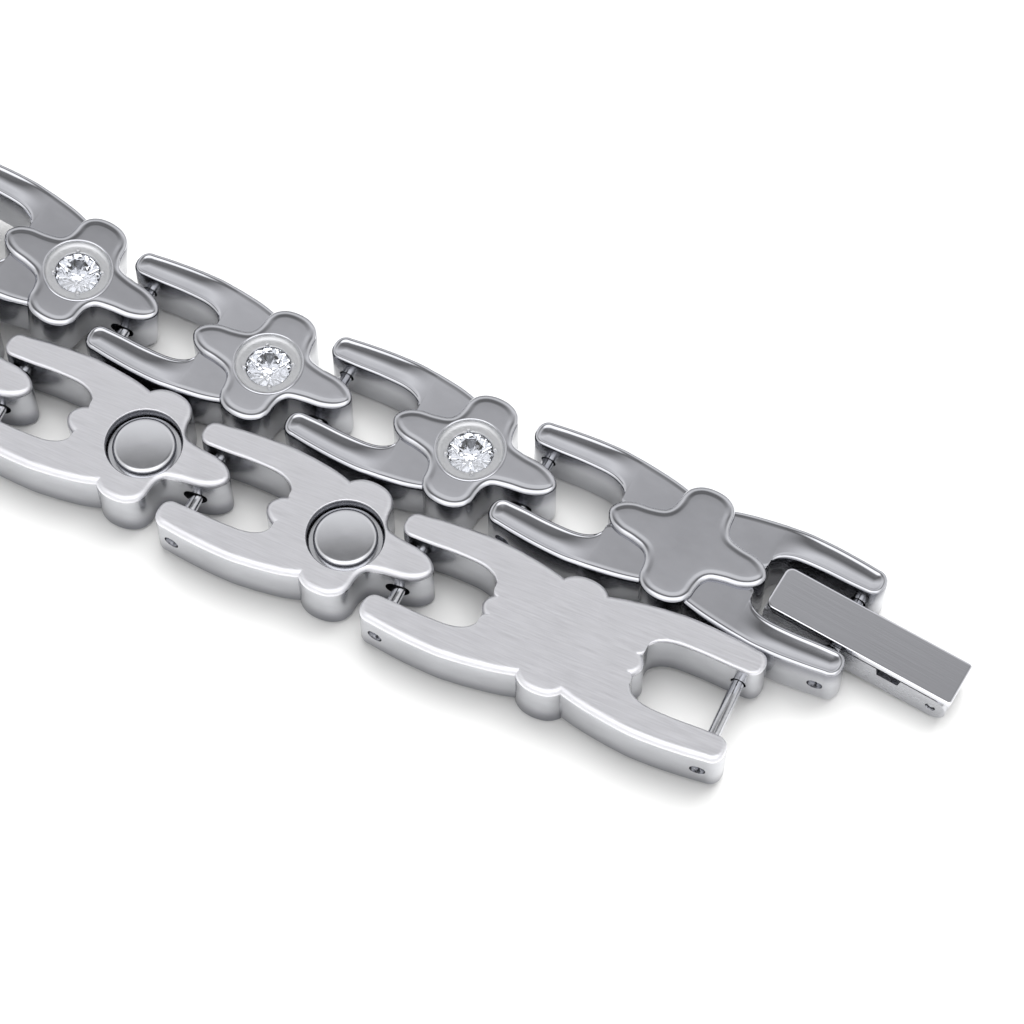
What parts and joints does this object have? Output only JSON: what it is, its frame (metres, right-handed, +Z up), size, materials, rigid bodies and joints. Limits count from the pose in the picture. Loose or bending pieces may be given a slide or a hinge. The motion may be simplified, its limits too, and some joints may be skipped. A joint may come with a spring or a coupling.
{
  "type": "magnetic bracelet",
  "caption": "Unclasped steel link bracelet with forked star links, a round clear stone in front and a magnet in back of each, and a fold-over clasp, lying doubled back.",
  "frame": {"origin": "middle of the lying bracelet's footprint, on the surface that it lies on", "axes": "+X along the front-up strand from the turned loop towards the clasp, +Z up"},
  "size_m": [0.1092, 0.0196, 0.022],
  "materials": {
    "link_steel": "stainless steel, polished on the front and satin brushed on the back",
    "clasp_steel": "polished stainless steel with a finely brushed cover",
    "pin_steel": "drawn steel wire, smooth",
    "clear_stone": "clear faceted stone, polished",
    "magnet_plating": "bright nickel plating on a round magnet"
  },
  "bodies": {
    "bracelet": {"clasp_base": "clasp_steel", "clasp_hinge_pin": "pin_steel", "end_link_clasp": "link_steel", "end_link_free": "link_steel", "magnet_1": "magnet_plating", "magnet_10": "magnet_plating", "magnet_11": "magnet_plating", "magnet_2": "magnet_plating", "magnet_3": "magnet_plating", "magnet_4": "magnet_plating", "magnet_5": "magnet_plating", "magnet_6": "magnet_plating", "magnet_7": "magnet_plating", "magnet_8": "magnet_plating", "magnet_9": "magnet_plating", "middle_link": "link_steel", "pin_clasp": "pin_steel", "pin_end_link_clasp": "pin_steel", "pin_end_link_free": "pin_steel", "pin_free_end": "pin_steel", "pin_star_link_1": "pin_steel", "pin_star_link_10": "pin_steel", "pin_star_link_2": "pin_steel", "pin_star_link_3": "pin_steel", "pin_star_link_4": "pin_steel", "pin_star_link_5": "pin_steel", "pin_star_link_6": "pin_steel", "pin_star_link_7": "pin_steel", "pin_star_link_8": "pin_steel", "pin_star_link_9": "pin_steel", "star_link_1": "link_steel", "star_link_10": "link_steel", "star_link_2": "link_steel", "star_link_3": "link_steel", "star_link_4": "link_steel", "star_link_5": "link_steel", "star_link_6": "link_steel", "star_link_7": "link_steel", "star_link_8": "link_steel", "star_link_9": "link_steel", "stone_1": "clear_stone", "stone_10": "clear_stone", "stone_11": "clear_stone", "stone_2": "clear_stone", "stone_3": "clear_stone", "stone_4": "clear_stone", "stone_5": "clear_stone", "stone_6": "clear_stone", "stone_7": "clear_stone", "stone_8": "clear_stone", "stone_9": "clear_stone"},
    "cover": {"clasp_cover": "clasp_steel"}
  },
  "joints": [
    {"name": "cover_hinge", "type": "hinge", "parent": "bracelet", "child": "cover", "pos_m": [0.0533, 0.00349, 0.00127], "axis": [0.0793, 0.9968, 0], "range_deg": [0, 90]}
  ]
}
